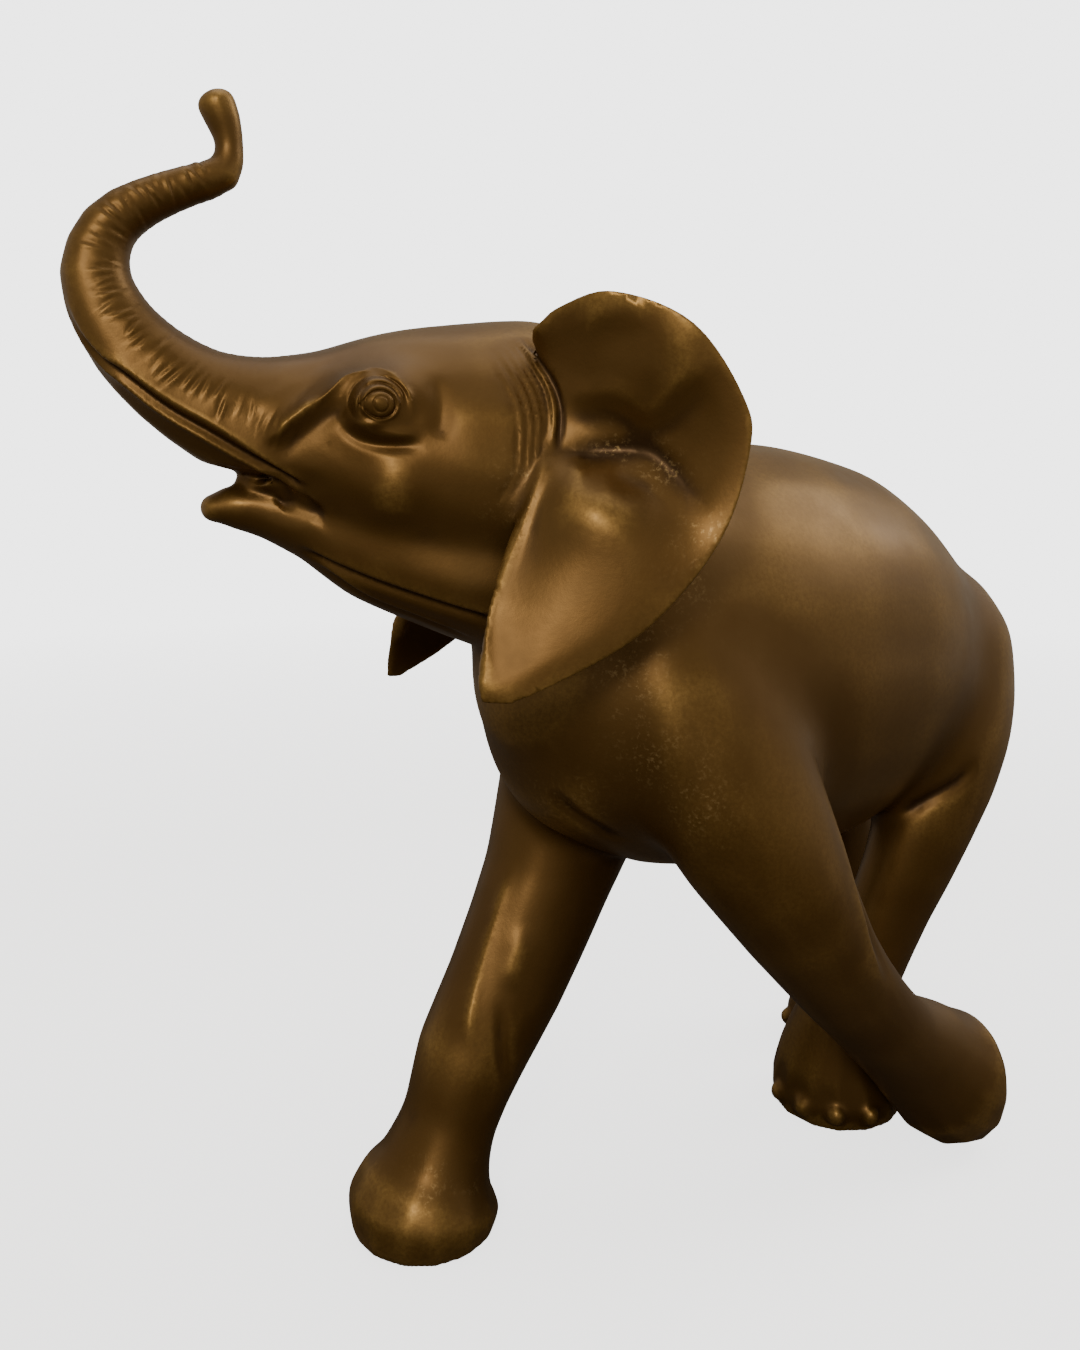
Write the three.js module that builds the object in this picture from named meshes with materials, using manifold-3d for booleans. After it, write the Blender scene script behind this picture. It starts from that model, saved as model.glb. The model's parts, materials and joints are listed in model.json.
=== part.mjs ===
// A bronze elephant calf, cast in one piece, striding with its head up and its trunk curled over its brow.
// Millimetres, +Z up. The calf faces -X, its left side is -Y, and its feet stand on z = 0.
// Every limb is a loft: a row of oval sections strung along a smooth curve. The lofts are then fused into
// one solid, and the ground plane cuts its soles flat.
import * as THREE from "three";
import { mergeVertices } from "three/addons/utils/BufferGeometryUtils.js";
import Module from "manifold-3d";

// ---- driving dimensions ----
const HEAD_YAW = 22; // degrees that the head is turned to the calf's right
const NECK_PIVOT = [-95, 0]; // x and y of the upright axis that the head turns about
const EAR_THICK = 7; // ear at its root
const EAR_RIM = 3.2; // ear at its rim
const RIGHT_EAR_FLARE = 14; // the right ear is pushed outwards by the shoulder
const RIGHT_EAR_DROP = 20; // its tip hangs lower than the left one
const RIGHT_EAR_SWING = 11; // and further forward
const TOENAIL = 6; // half width of a toenail
const EYE = 6.2; // radius of an eyeball
const EYE_AT = [-95, 47, 422.5]; // back, out to the side and up in the head's own frame
const MOUTH_REACH = 40; // the mouth is cut this far each way from the middle of the head
const SOLE_LEVEL = 7; // height at which the feet are trimmed flat; it becomes z = 0
const TRIM_DEPTH = 60; // depth of the block that trims the feet
const TRIM_WIDTH = 900; // width of that block, wider than the calf is long

const BRONZE = new THREE.MeshStandardMaterial({ color: 0x6a4a1e, roughness: 0.38, metalness: 0.9 });

const wasm = await Module();
wasm.setup();

// ---- solids ----
// A closed triangle soup becomes a solid once its shared corners are merged.
function solidFrom(geometry) {
  const bare = new THREE.BufferGeometry().setAttribute("position", geometry.getAttribute("position").clone());
  if (geometry.index) bare.setIndex(geometry.index.clone());
  const merged = mergeVertices(bare, 1e-3);
  return new wasm.Manifold(
    new wasm.Mesh({
      numProp: 3,
      vertProperties: new Float32Array(merged.getAttribute("position").array),
      triVerts: new Uint32Array(merged.index.array),
    }),
  );
}

function geometryFrom(solid) {
  const mesh = solid.getMesh();
  const geometry = new THREE.BufferGeometry();
  geometry.setAttribute("position", new THREE.BufferAttribute(new Float32Array(mesh.vertProperties), 3));
  geometry.setIndex(new THREE.BufferAttribute(new Uint32Array(mesh.triVerts), 1));
  geometry.computeVertexNormals();
  return geometry;
}

const vec = (x, y, z) => new THREE.Vector3(x, y, z);
const LEFT = vec(0, -1, 0);
const RIGHT = vec(0, 1, 0);
const smooth = (t) => THREE.MathUtils.smoothstep(t, 0, 1);
const bump = (x, centre, width) => Math.exp(-(((x - centre) / width) ** 2));

// Rings of equal length, closed at both ends by a fan to a pole, make a closed skin.
function skin(rings, firstPole, lastPole) {
  const sides = rings[0].length;
  const points = [...rings.flat(), firstPole, lastPole];
  const index = [];
  for (let r = 0; r < rings.length - 1; r++)
    for (let s = 0; s < sides; s++) {
      const a = r * sides + s;
      const b = r * sides + ((s + 1) % sides);
      index.push(a, b, a + sides, b, b + sides, a + sides);
    }
  const first = rings.length * sides;
  const lastRing = first - sides;
  for (let s = 0; s < sides; s++) {
    const next = (s + 1) % sides;
    index.push(first, next, s, first + 1, lastRing + s, lastRing + next);
  }
  const geometry = new THREE.BufferGeometry().setFromPoints(points);
  geometry.setIndex(index);
  return geometry;
}

const ROUND = {
  sides: 20, // corners round a section
  steps: 2, // sections from one station to the next
  across: LEFT, // the direction that the width lies along
  domes: [0.6, 0.6], // length of each end's dome, as a share of the smallest half size there
  domeRings: [30, 58, 78], // degrees round a dome at which it has a ring
  belly: () => 1, // below 1 flattens a section's lower half towards a D; given the way along, 0 to 1
};
// A loft through stations: x, y, z, half width across, half depth on the upper side, half depth on the lower
// side. The depth lies at right angles to the width and to the curve through the stations.
function loft(stations, shape = {}) {
  const { sides, steps, across, domes, domeRings, belly } = { ...ROUND, ...shape };
  const centres = new THREE.CatmullRomCurve3(stations.map(([x, y, z]) => vec(x, y, z)), false, "centripetal");
  const halves = new THREE.CatmullRomCurve3(stations.map(([, , , w, up, down]) => vec(w, up, down ?? up)));
  const count = (stations.length - 1) * steps;
  const ring = (t, shift, scale) => {
    const tangent = centres.getTangent(t);
    const centre = centres.getPoint(t).addScaledVector(tangent, shift);
    const size = halves.getPoint(t);
    const side = across.clone().addScaledVector(tangent, -across.dot(tangent)).normalize();
    const above = vec().crossVectors(tangent, side);
    return Array.from({ length: sides }, (_, s) => {
      const angle = (2 * Math.PI * s) / sides;
      const [c, d] = [Math.cos(angle), Math.sin(angle)];
      const power = d < 0 ? belly(t) : 1;
      return centre.clone()
        .addScaledVector(side, size.x * scale * Math.sign(c) * Math.abs(c) ** power)
        .addScaledVector(above, (d > 0 ? size.y : size.z) * scale * Math.sign(d) * Math.abs(d) ** power);
    });
  };
  const dome = (t, share, sign) => {
    const length = share * Math.min(...halves.getPoint(t).toArray()) * sign;
    const rings = domeRings.map((degrees) => {
      const angle = THREE.MathUtils.degToRad(degrees);
      return ring(t, length * Math.sin(angle), Math.cos(angle));
    });
    return { rings, pole: centres.getPoint(t).addScaledVector(centres.getTangent(t), length) };
  };
  const body = Array.from({ length: count + 1 }, (_, i) => ring(i / count, 0, 1));
  const start = dome(0, domes[0], -1);
  const end = dome(1, domes[1], 1);
  return solidFrom(skin([...start.rings.reverse(), ...body, ...end.rings], start.pole, end.pole));
}

// A ball squeezed to an ellipsoid.
function pebble([x, y, z], [rx, ry, rz], facets = 6) {
  const ball = new THREE.SphereGeometry(1, facets, Math.ceil(facets * 0.6));
  return solidFrom(ball.scale(rx, ry, rz).translate(x, y, z));
}

const fuse = (solids) => solids.reduce((whole, part) => whole.add(part));

// ---- torso ----
// Sections along the spine: x, back, belly, half width.
const TORSO = [
  [-105, 372, 258, 49],
  [-85, 396, 222, 68],
  [-35, 408, 194, 82],
  [30, 410, 180, 89],
  [95, 398, 178, 87],
  [150, 366, 188, 78],
  [196, 328, 206, 65],
  [226, 294, 226, 48],
];
function torso() {
  const stations = TORSO.map(([x, back, belly, half]) => {
    const middle = (back + belly) / 2;
    return [x, 0, middle, half, back - middle, middle - belly];
  });
  return loft(stations, { across: RIGHT, domes: [0.5, 0.6] });
}

// ---- legs ----
// Stations down each leg: x, y, z, half width across the body, half depth to the front and to the rear.
const LEGS = {
  // the right foreleg reaches forward and takes the weight
  rightFore: [
    [-26, 24, 335, 34, 46, 48],
    [-34, 37, 278, 41, 52, 50],
    [-47, 45, 226, 39, 45, 49],
    [-66, 46, 180, 33, 36, 40],
    [-97, 45, 126, 30, 32, 35],
    [-118, 45, 92, 29, 31, 28],
    [-133, 45, 62, 26, 25, 25],
    [-143, 46, 40, 31, 28, 31],
    [-149, 47, 22, 41, 39, 41],
    [-149, 47, 9, 38, 37, 38],
    [-150, 47, -14, 28, 30, 28],
  ],
  // the left foreleg trails, and its foot has rolled over onto the toes
  leftFore: [
    [-60, -28, 350, 30, 46, 50],
    [-54, -45, 298, 37, 54, 56],
    [-42, -62, 246, 37, 47, 50],
    [-22, -75, 200, 34, 35, 38],
    [8, -82, 154, 29, 26, 29],
    [43, -84, 116, 26, 23, 26],
    [69, -84, 90, 26, 22, 28],
    [93, -84, 71, 28, 26, 35],
    [112, -85, 55, 31, 30, 40],
    [128, -87, 44, 33, 35, 43],
    [141, -88, 43, 31, 38, 41],
  ],
  // the left hind leg steps forward under the belly
  leftHind: [
    [156, -22, 322, 32, 38, 34],
    [174, -34, 288, 43, 52, 50],
    [166, -46, 236, 38, 48, 45],
    [150, -48, 184, 28, 36, 28],
    [135, -40, 138, 23, 31, 23],
    [121, -30, 98, 24, 28, 25],
    [112, -24, 68, 27, 29, 27],
    [113, -20, 44, 34, 36, 33],
    [117, -19, 24, 40, 41, 38],
    [118, -19, 8, 38, 39, 36],
    [118, -19, -10, 30, 31, 29],
  ],
  // the right hind leg stands under the hip
  rightHind: [
    [156, 22, 322, 32, 38, 34],
    [176, 34, 288, 43, 52, 48],
    [176, 46, 236, 38, 48, 48],
    [182, 47, 184, 32, 36, 36],
    [190, 42, 134, 28, 30, 30],
    [196, 38, 90, 26, 27, 26],
    [198, 35, 62, 27, 28, 27],
    [197, 34, 40, 32, 34, 33],
    [196, 34, 20, 37, 41, 37],
    [196, 34, 4, 34, 38, 34],
    [196, 34, -14, 27, 30, 27],
  ],
};
function legs() {
  const planted = { sides: 14 };
  const rolledOver = { sides: 14, domes: [0.6, 0.25] };
  return Object.entries(LEGS).map(([name, stations]) =>
    loft(stations, name === "leftFore" ? rolledOver : planted),
  );
}

// Toenails stand round the front of three feet; the planted forefoot is smooth.
// `front` is the direction that a foot's front points, and the nails' angles turn from there to the left.
const NAILS = [
  { centre: [144, -88, 44], front: [0.16, 0, -0.98], reach: 33, angles: [-5, 30, 62] },
  { centre: [117, -19, 18], front: [-1, 0, 0], reach: 39, angles: [-25, 5, 35, 65] },
  { centre: [196, 34, 18], front: [-1, 0, 0], reach: 38, angles: [-35, 0, 35] },
];
function toenails() {
  return NAILS.flatMap(({ centre, front, reach, angles }) =>
    angles.map((degrees) => {
      const angle = THREE.MathUtils.degToRad(degrees);
      const out = vec(...front).multiplyScalar(Math.cos(angle)).addScaledVector(LEFT, Math.sin(angle));
      return pebble(vec(...centre).addScaledVector(out, reach).toArray(), [TOENAIL, TOENAIL, TOENAIL * 1.2]);
    }),
  );
}

// ---- head, in its own frame: -x forward, -y left, before it is turned ----
function turned(solid) {
  const turn = new THREE.Matrix4().makeRotationZ(THREE.MathUtils.degToRad(-HEAD_YAW));
  turn.setPosition(NECK_PIVOT[0], NECK_PIVOT[1], 0);
  return solid.transform(turn.elements);
}

// Skull and trunk in one sweep: x, z, half width, half depth above, half depth below. The trunk's underside
// is flat from the face to the last bend.
const SKULL_AND_TRUNK = [
  [6, 388, 46, 62, 46],
  [-26, 393, 57, 70, 58],
  [-60, 398, 53, 62, 57],
  [-94, 402, 43, 53, 44],
  [-122, 408, 33, 40, 27],
  [-144, 416, 28, 30, 23.5],
  [-163, 427, 24, 21.5, 21.5],
  [-179, 441, 21, 16.5, 20],
  [-191, 456, 18, 14, 18],
  [-197, 474, 15, 12, 15],
  [-192, 491, 13, 10.5, 11],
  [-178, 502, 11, 9, 8.5],
  [-160, 510, 9, 8, 7],
  [-147, 515, 7.5, 7, 7.5],
  [-144, 525, 5.8, 5.6, 5.6],
  [-146, 536, 7.6, 6.8, 7.6],
  [-148, 542, 8.2, 7, 8.4],
];
// The lower jaw has the same columns.
const JAW = [
  [-24, 344, 52, 44, 36],
  [-60, 352, 46, 38, 28],
  [-92, 364, 36, 30, 25],
  [-116, 373, 24, 18, 16.5],
  [-134, 379, 16, 12, 13],
  [-149, 380.5, 12, 9.5, 9.5],
  [-157.5, 380, 8.5, 6, 6],
];
// The mouth opens between the trunk's underside and the lower lip: x and z from its corner round the wedge.
const MOUTH = [
  [-119, 387],
  [-138, 394.5],
  [-147, 395.5],
  [-158, 398.5],
  [-174, 402],
  [-174, 386],
  [-158, 387.5],
  [-148, 390.5],
  [-138, 391],
];
const TONGUE = [[-132, 0, 392], [17, 11, 8], 8]; // centre, radii and sides
// Ridge from the root of the trunk up over the eye: x, y, z, half width, half height.
const BROW = [
  [-134, 27, 409, 4, 4],
  [-119, 31, 418, 5, 5],
  [-104, 31, 429, 5, 5],
  [-92, 29, 436, 5, 5],
  [-80, 33, 436, 5, 5],
  [-71, 42, 427, 4, 4],
];
// An almond-shaped rim round the eyeball.
function eyelids(side) {
  const rim = new THREE.TorusGeometry(EYE * 1.25, EYE * 0.24, 5, 12);
  rim.scale(1.25, 0.9, 1.4).rotateX(Math.PI / 2).translate(EYE_AT[0], side * EYE_AT[1], EYE_AT[2]);
  return solidFrom(rim);
}
function head() {
  const upright = (rows) => rows.map(([x, z, ...halves]) => [x, 0, z, ...halves]);
  const flatUnderTrunk = (t) => 1 - 0.3 * smooth((t - 0.22) / 0.12) + 0.3 * smooth((t - 0.7) / 0.2);
  const skull = loft(upright(SKULL_AND_TRUNK), { sides: 18, domes: [0.6, 0.7], belly: flatUnderTrunk });
  const jaw = loft(upright(JAW), { sides: 16, domes: [0.6, 0.9] });
  const face = [-1, 1].flatMap((side) => [
    loft(BROW.map(([x, y, z, ...halves]) => [x, side * y, z, ...halves]), { sides: 6, domeRings: [45] }),
    pebble([EYE_AT[0] + 5, side * (EYE_AT[1] - 9.5), EYE_AT[2] - 1.5], [17, 10, 16], 12), // eye socket
    pebble([EYE_AT[0], side * (EYE_AT[1] - 1), EYE_AT[2]], [EYE * 1.3, EYE * 0.8, EYE], 10), // eyeball
    eyelids(side),
  ]);
  const gape = new THREE.ExtrudeGeometry(new THREE.Shape(MOUTH.map(([x, z]) => new THREE.Vector2(x, z))), {
    depth: 2 * MOUTH_REACH,
    bevelEnabled: false,
  });
  gape.rotateX(Math.PI / 2).translate(0, MOUTH_REACH, 0);
  return [fuse([skull, jaw, ...face]).subtract(solidFrom(gape)), pebble(...TONGUE)];
}

// The neck joins the torso's front to the turned skull.
function neck() {
  const stations = [
    [-14, 0, 322, 60, 72, 80],
    [-64, 3, 342, 64, 71, 80],
    [-100, 9, 368, 56, 66, 56],
    [-126, 14, 386, 46, 58, 40],
  ];
  return loft(stations, { sides: 16, domes: [0.5, 0.5] });
}

// ---- ears ----
// Each ear is a rippled sheet that fans from a short root on the skull to a long free edge.
// Points are x, distance out from the head's middle plane, and z.
const EAR_ROOT = [
  [-30, 44, 450],
  [-22, 50, 432],
  [-22, 52, 412],
  [-28, 50, 394],
];
const EAR_EDGE = [
  [-33, 50, 453],
  [-22, 60, 461],
  [-6, 78, 465],
  [22, 92, 452],
  [42, 98, 422],
  [44, 98, 402],
  [33, 96, 368],
  [6, 92, 335],
  [-28, 86, 314],
  [-60, 78, 302],
  [-57, 70, 330],
  [-46, 62, 362],
  [-33, 54, 392],
];
// How far the sheet bellies out, at u from root to rim and v down the rim.
function earRipple(u, v) {
  // The crease leaves the root low down, climbs and runs out to the rim at mid height.
  const creaseAt = 0.405 + 0.45 * Math.exp(-u / 0.18);
  const crease = -9 * bump(v, creaseAt, v < creaseAt ? 0.1 : 0.045);
  const upperLobe = 6 * bump(v, 0.26, 0.1);
  const lowerLobe = 8 * bump(v, creaseAt + 0.12, 0.09) + 4 * bump(v, 0.66, 0.1);
  const rolledEdge = 7 * bump(v, 0.97, 0.06);
  return (crease + upperLobe + lowerLobe + rolledEdge) * Math.sin(Math.PI * u);
}
function ear(side) {
  const across = 7; // squares from the root to the rim
  const along = 32; // squares down the rim
  const rootCurve = new THREE.CatmullRomCurve3(EAR_ROOT.map((p) => vec(...p)));
  const edgeCurve = new THREE.CatmullRomCurve3(EAR_EDGE.map((p) => vec(...p)), false, "centripetal");
  const sheet = (layer) =>
    Array.from({ length: along + 1 }, (_, j) => {
      const v = j / along;
      const root = rootCurve.getPoint(v);
      const edge = edgeCurve.getPointAt(v);
      const low = smooth((v - 0.4) / 0.4);
      if (side > 0) edge.add(vec(-RIGHT_EAR_SWING * low, RIGHT_EAR_FLARE, -RIGHT_EAR_DROP * low));
      return Array.from({ length: across + 1 }, (_, i) => {
        const u = i / across;
        const p = root.clone().lerp(edge, u);
        const thickness = THREE.MathUtils.lerp(EAR_THICK, EAR_RIM, smooth(u));
        p.y += earRipple(u, v) - layer * thickness;
        return vec(p.x, side * p.y, p.z);
      });
    });
  const outer = sheet(0);
  const inner = sheet(1);
  // One ring of the skin runs out along the outer face and back along the inner face.
  const rings = outer.map((row, j) => [...row, ...inner[j].slice().reverse()]);
  if (side < 0) rings.forEach((ring) => ring.reverse());
  const pole = (ring) => ring.reduce((sum, p) => sum.add(p), vec()).divideScalar(ring.length);
  return solidFrom(skin(rings, pole(rings[0]), pole(rings[along])));
}

// ---- tail, on the calf's right buttock ----
function tail() {
  const stations = [
    [228, 4, 322, 12, 12],
    [246, 12, 296, 8, 8],
    [252, 22, 258, 6, 6],
    [250, 32, 220, 5, 5],
    [246, 40, 188, 7, 7],
    [244, 44, 166, 4, 4],
  ];
  return loft(stations, { sides: 8, domeRings: [45] });
}

// ---- assembly ----
const headAndEars = [...head(), ear(-1), ear(1)].map(turned);
const whole = fuse([torso(), neck(), tail(), ...legs(), ...toenails(), ...headAndEars]);
const block = new THREE.BoxGeometry(TRIM_WIDTH, TRIM_WIDTH, TRIM_DEPTH);
const trim = solidFrom(block.translate(0, 0, SOLE_LEVEL - TRIM_DEPTH / 2));
// Small pockets can be sealed in where lids and nails overlap, so only the outer skin is kept.
const outerSkin = whole.subtract(trim).decompose()
  .reduce((largest, skin) => (skin.volume() > largest.volume() ? skin : largest));

// The origin goes on the ground, under the middle of the calf's bounding box.
const { min, max } = outerSkin.boundingBox();
const centred = outerSkin.translate([-(min[0] + max[0]) / 2, -(min[1] + max[1]) / 2, -SOLE_LEVEL]);

const elephant = new THREE.Mesh(geometryFrom(centred), BRONZE);
elephant.name = "elephant";

const group = new THREE.Group();
group.add(elephant);
export default group;
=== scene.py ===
# %% [markdown]
# # A cast bronze elephant calf
# A founder casts a sculpture like this in one piece from a wax model, so it has no joins. The fixed solid
# already stands in the right pose and size. This lesson copies it, gives it an even fine skin as a wax model
# has, works the folds and the face into that skin, and ends with the patina.

# %% Load the fixed solid
import json
import math

import bpy
import numpy as np
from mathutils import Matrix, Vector

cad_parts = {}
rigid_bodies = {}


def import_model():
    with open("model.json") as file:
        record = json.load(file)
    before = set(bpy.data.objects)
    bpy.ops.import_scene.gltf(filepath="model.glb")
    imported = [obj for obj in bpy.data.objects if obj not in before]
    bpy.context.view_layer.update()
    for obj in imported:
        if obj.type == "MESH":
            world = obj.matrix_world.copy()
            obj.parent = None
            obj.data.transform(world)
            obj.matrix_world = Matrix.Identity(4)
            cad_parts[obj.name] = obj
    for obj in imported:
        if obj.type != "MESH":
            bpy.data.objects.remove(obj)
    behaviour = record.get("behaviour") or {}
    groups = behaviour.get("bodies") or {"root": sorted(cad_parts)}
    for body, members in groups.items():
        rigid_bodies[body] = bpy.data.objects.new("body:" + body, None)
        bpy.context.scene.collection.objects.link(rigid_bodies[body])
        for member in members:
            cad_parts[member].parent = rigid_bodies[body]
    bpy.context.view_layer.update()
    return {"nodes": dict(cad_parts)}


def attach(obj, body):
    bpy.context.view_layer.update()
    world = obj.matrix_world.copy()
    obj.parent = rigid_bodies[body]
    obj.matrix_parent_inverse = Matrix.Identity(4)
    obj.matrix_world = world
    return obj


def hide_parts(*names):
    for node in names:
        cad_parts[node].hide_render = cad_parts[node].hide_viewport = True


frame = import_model()
calf_solid = frame["nodes"]["elephant"]

# %% [markdown]
# The viewer stands in front of the calf's left shoulder, less than a metre away and level with its head. A
# near viewer needs a wide lens, which makes the raised head and the forward foot look larger. The lens is
# worked out from the tall side of the picture, because that is the side that Blender's sensor width measures
# on an upright picture.

# %% Camera
VIEW_FROM = Vector((-0.4395, -0.4109, 0.393))
VIEW_TURN = -40.0  # degrees about the vertical
VIEW_DOWN = 10.4  # degrees below level
VIEW_TALL = 60.0  # degrees seen from the top of the picture to its foot
SENSOR = 36.0

eye_data = bpy.data.cameras.new("viewer")
eye_data.sensor_width = SENSOR
eye_data.lens = SENSOR / 2 / math.tan(math.radians(VIEW_TALL / 2))
eye_data.clip_start = 0.01
viewer = bpy.data.objects.new("viewer", eye_data)
bpy.context.scene.collection.objects.link(viewer)
viewer.location = VIEW_FROM
viewer.rotation_euler = (math.radians(90 - VIEW_DOWN), 0, math.radians(VIEW_TURN))
bpy.context.scene.camera = viewer
print("lens:", round(eye_data.lens, 1), "mm")

# %% [markdown]
# ## Places on the calf
# The calf was laid out in millimetres from a zero between its forelegs, and the head turns about an upright
# line through the neck. Two small helpers give every point of the skin in the body's own millimetres and in
# the head's, where x runs back from the neck, y to the calf's right and z up. Working in those two frames
# keeps each fold's numbers short and lets one rule shape both sides of the face.

# %% Frames for the body and the head
BODY_ZERO = np.array([17.85, 4.23, -7.0])  # millimetres, where the layout's zero lies in the model
HEAD_YAW = math.radians(22)
NECK_PIVOT = np.array([-95.0, 0.0, 0.0])
HEAD_AXES = np.array([
    [math.cos(HEAD_YAW), -math.sin(HEAD_YAW), 0],
    [math.sin(HEAD_YAW), math.cos(HEAD_YAW), 0],
    [0, 0, 1],
])
FAR = 1000.0  # millimetres, stands for out of reach


def to_body(metres):
    """Model metres to layout millimetres."""
    return metres * 1000 - BODY_ZERO


def to_model(millimetres):
    """Layout millimetres to model metres."""
    return (millimetres + BODY_ZERO) / 1000


def to_head(body):
    """Layout millimetres to the head's own millimetres."""
    return (body - NECK_PIVOT) @ HEAD_AXES.T


def side_of_head(body):
    """-1 on the left side of the head and 1 on its right."""
    return np.where(to_head(body)[:, 1] < 0, -1.0, 1.0)


def flipped(vectors, side):
    """Vectors with their sideways part multiplied by 1 or -1."""
    return vectors * np.stack([np.ones(len(side)), side, np.ones(len(side))], axis=1)


def step(value, low, high):
    """0 below low, 1 above high, smooth in between."""
    t = np.clip((value - low) / (high - low), 0, 1)
    return t * t * (3 - 2 * t)


def hump(value, centre, width):
    """A soft hump of height 1."""
    return np.exp(-(((value - centre) / width) ** 2))


print("the head is turned", round(math.degrees(HEAD_YAW)), "degrees to the calf's right")

# %% [markdown]
# ## The wax skin
# The solid is built of flat facets, as a quick carving is. A sculptor would rub them down. The copy's loose
# corners are merged first. A voxel remesh then lays an even net of small squares over the whole body, and
# smoothing melts facets and joins into one flowing surface. Broad places take much smoothing and thin or
# sharp ones little, so each round of smoothing is weighted point by point.

# %% Copy the solid and lay an even net over it
NET = 0.0015  # side of a square in the net


def only(thing):
    """Deselect everything and make one object active."""
    bpy.ops.object.select_all(action="DESELECT")
    thing.select_set(True)
    bpy.context.view_layer.objects.active = thing


calf = bpy.data.objects.new("bronze_calf", calf_solid.data.copy())
bpy.context.scene.collection.objects.link(calf)
only(calf)
bpy.ops.object.mode_set(mode="EDIT")
bpy.ops.mesh.select_all(action="SELECT")
bpy.ops.mesh.remove_doubles(threshold=0.00001)
bpy.ops.object.mode_set(mode="OBJECT")

net = calf.modifiers.new("net", "REMESH")
net.mode = "VOXEL"
net.voxel_size = NET
bpy.ops.object.modifier_apply(modifier=net.name)
print("the net has", len(calf.data.vertices), "points")


# %% Helpers that read and write the skin
def read_skin():
    """Every point of the skin in layout millimetres."""
    flat = np.empty(len(calf.data.vertices) * 3, dtype=np.float32)
    calf.data.vertices.foreach_get("co", flat)
    return to_body(flat.reshape(-1, 3).astype(float))


def write_skin(points):
    """Put the points, in layout millimetres, back on the skin."""
    calf.data.vertices.foreach_set("co", to_model(points).astype(np.float32).ravel())
    calf.data.update()


def read_normals():
    """The skin's outward direction at every point."""
    flat = np.empty(len(calf.data.vertices) * 3, dtype=np.float32)
    calf.data.vertex_normals.foreach_get("vector", flat)
    return flat.reshape(-1, 3).astype(float)


# %% [markdown]
# ### Rubbing down
# To rub the facets down, every point is pulled a little towards the middle of its neighbours, again and
# again. That alone would also wear the calf thinner, as sandpaper does. So `relax` works out what the
# rubbing took away, smooths that too, and puts it back: the facets go and the calf keeps its girth.

# %% Smoothing that keeps the girth
def neighbours(mesh):
    """The neighbours of every point, in rows filled up with the point itself, and how many there are."""
    ends = np.empty(len(mesh.edges) * 2, dtype=np.int32)
    mesh.edges.foreach_get("vertices", ends)
    ends = ends.reshape(-1, 2)
    source = np.concatenate([ends[:, 0], ends[:, 1]])
    target = np.concatenate([ends[:, 1], ends[:, 0]])
    order = np.argsort(source, kind="stable")
    source, target = source[order], target[order]
    count = np.bincount(source, minlength=len(mesh.vertices))
    first = np.concatenate([[0], np.cumsum(count)[:-1]])
    table = np.tile(np.arange(len(count), dtype=np.int32)[:, None], (1, count.max()))
    table[source, np.arange(len(source)) - first[source]] = target
    return table, count


PULL = 0.9  # share of the way that a point moves in one round


def melt(values, around, weight, rounds):
    """Pull each value towards the mean of its neighbours, as strongly as the weight says."""
    table, count = around
    rows = np.nonzero(weight.max(axis=1) > 0.01)[0]
    near, most = table[rows], table.shape[1]
    pull = (PULL * weight[rows] / count[rows][:, None]).astype(np.float32)
    values = values.astype(np.float32)
    for _ in range(rounds):
        here = values[rows]
        values[rows] = here + pull * (values[near].sum(axis=1) - most * here)
    return values


def relax(points, around, weight, reach):
    """Smooth out what is smaller than a reach in millimetres, then give back what the smoothing wore away."""
    rounds = max(1, round(reach**2 / (PULL / 2 * (1000 * NET) ** 2)))
    soft = melt(points, around, weight, rounds)
    return (soft + melt(points - soft, around, weight, rounds)).astype(float)


def three(mask):
    """One weight for x, y and z."""
    return np.repeat(mask[:, None], 3, axis=1)


around = neighbours(calf.data)
print("a point has up to", around[0].shape[1], "neighbours")


# %% [markdown]
# ### Which places are thin
# The ears, eyes, trunk tip, tail and toes would melt away under strong smoothing. An ear lies outside the
# skull and behind it, so distance from the head's middle plane picks it out. The soles keep their flat cut.

# %% Masks for the thin places
def ear_mask(skin):
    """1 on the free part of the ears."""
    head = to_head(skin)
    side = np.abs(head[:, 1])
    beside_jaw = 14 * step(head[:, 2], 400, 330)  # the ears hang further out beside the jaw
    outside = step(side, 46 + beside_jaw, 56 + beside_jaw)
    behind = step(head[:, 0], -80, -62)
    above = step(head[:, 2], 262, 285) * (1 - step(head[:, 0], 52, 60))
    return outside * behind * above


EYE_AT = np.array([-93.5, 422.0])  # the pupil, back and up in the head's frame


def eye_distance(skin):
    """Distance from the nearer eye, seen from the side of the head."""
    head = to_head(skin)
    away = np.hypot(head[:, 0] - EYE_AT[0], head[:, 2] - EYE_AT[1])
    return np.where(np.abs(head[:, 1]) > 16, away, FAR)


def mouth_mask(skin):
    """1 round the lips."""
    head = to_head(skin)
    near = step(-head[:, 0], 110, 118) * (1 - step(-head[:, 0], 170, 180))
    return near * step(head[:, 2], 366, 374) * (1 - step(head[:, 2], 396, 402))


def trunk_mask(skin):
    """Rises from 0 at the face to 1 at the trunk's tip."""
    head = to_head(skin)
    return step(head[:, 2], 480, 515) * step(-head[:, 0], 90, 130)


def foot_mask(skin):
    """1 at the soles."""
    return 1 - step(skin[:, 2], 8, 13)


def toe_mask(skin):
    """1 round the toenails of the trailing and the hind feet."""
    low = 1 - step(skin[:, 2], 30, 45)
    return low * step(skin[:, 0], 70, 85)


def tail_mask(skin):
    """1 on the free part of the tail."""
    return step(skin[:, 0], 236, 244) * step(skin[:, 1], -2, 8) * (1 - step(skin[:, 2], 300, 330))


def measure_masks(skin):
    return {
        "ear": ear_mask(skin), "mouth": mouth_mask(skin), "trunk": trunk_mask(skin),
        "foot": foot_mask(skin), "toe": toe_mask(skin), "tail": tail_mask(skin),
    }


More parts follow.
